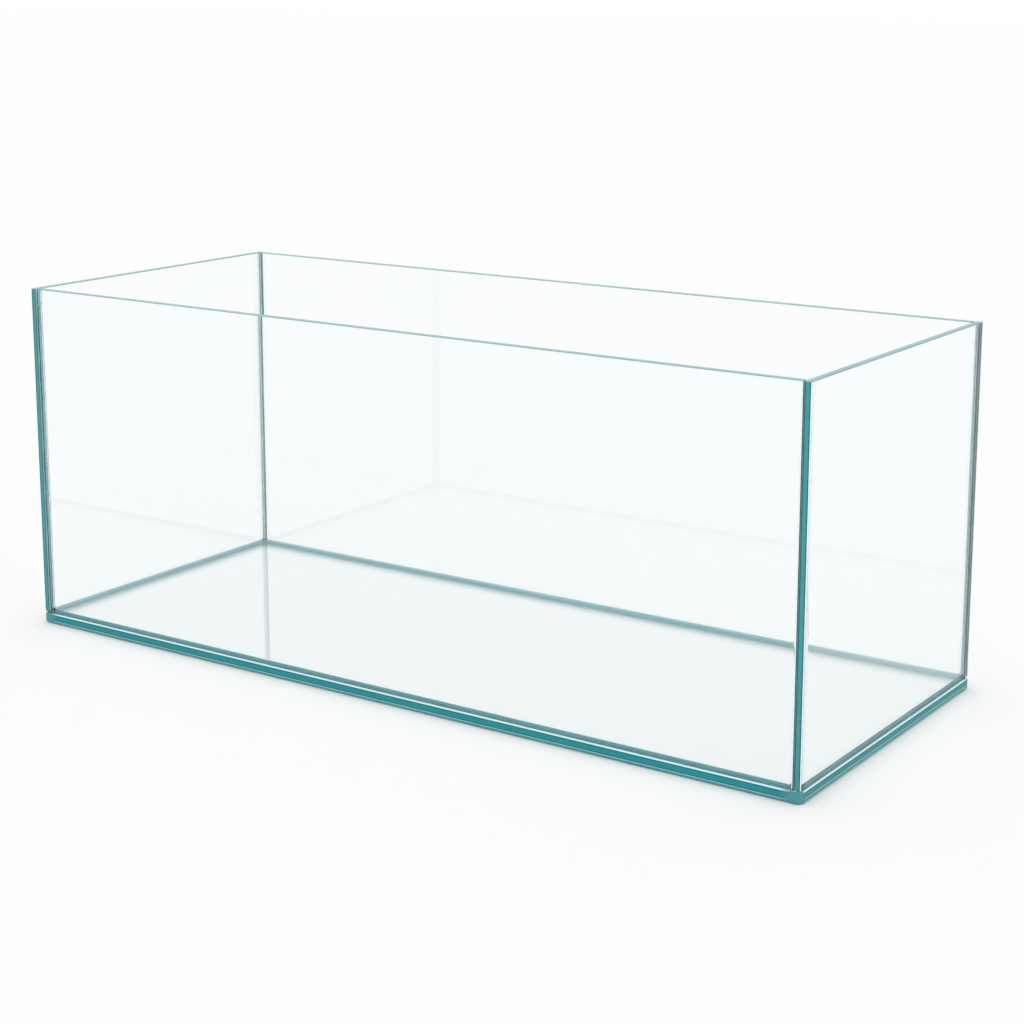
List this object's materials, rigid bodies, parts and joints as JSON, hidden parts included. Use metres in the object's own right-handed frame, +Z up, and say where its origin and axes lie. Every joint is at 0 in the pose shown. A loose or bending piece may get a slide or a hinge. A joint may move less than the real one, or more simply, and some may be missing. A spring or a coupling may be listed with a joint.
{
  "type": "glass aquarium tank",
  "caption": "Rimless open-topped glass aquarium tank: upright panes bonded edge to edge with clear silicone on a thicker base plate with rounded corners.",
  "frame": {"origin": "centre of the base plate's underside", "axes": "+X along the length, to the right of someone facing the front pane; the front faces -Y; +Z up"},
  "size_m": [1, 0.4, 0.4],
  "materials": {
    "glass": "polished clear float glass with a faint green-blue tint, ground and polished edges",
    "silicone_bond": "clear silicone, 1 mm thick between two pieces of glass",
    "silicone_bead": "clear silicone with a smooth tooled hollow face"
  },
  "bodies": {
    "root": {"base_plate": "glass", "left_pane": "glass", "right_pane": "glass", "front_pane": "glass", "rear_pane": "glass", "left_base_bond": "silicone_bond", "right_base_bond": "silicone_bond", "front_base_bond": "silicone_bond", "rear_base_bond": "silicone_bond", "front_left_corner_bond": "silicone_bond", "front_right_corner_bond": "silicone_bond", "rear_left_corner_bond": "silicone_bond", "rear_right_corner_bond": "silicone_bond", "front_base_bead": "silicone_bead", "right_base_bead": "silicone_bead", "rear_base_bead": "silicone_bead", "left_base_bead": "silicone_bead", "front_left_corner_bead": "silicone_bead", "front_right_corner_bead": "silicone_bead", "rear_left_corner_bead": "silicone_bead", "rear_right_corner_bead": "silicone_bead"}
  },
  "joints": []
}
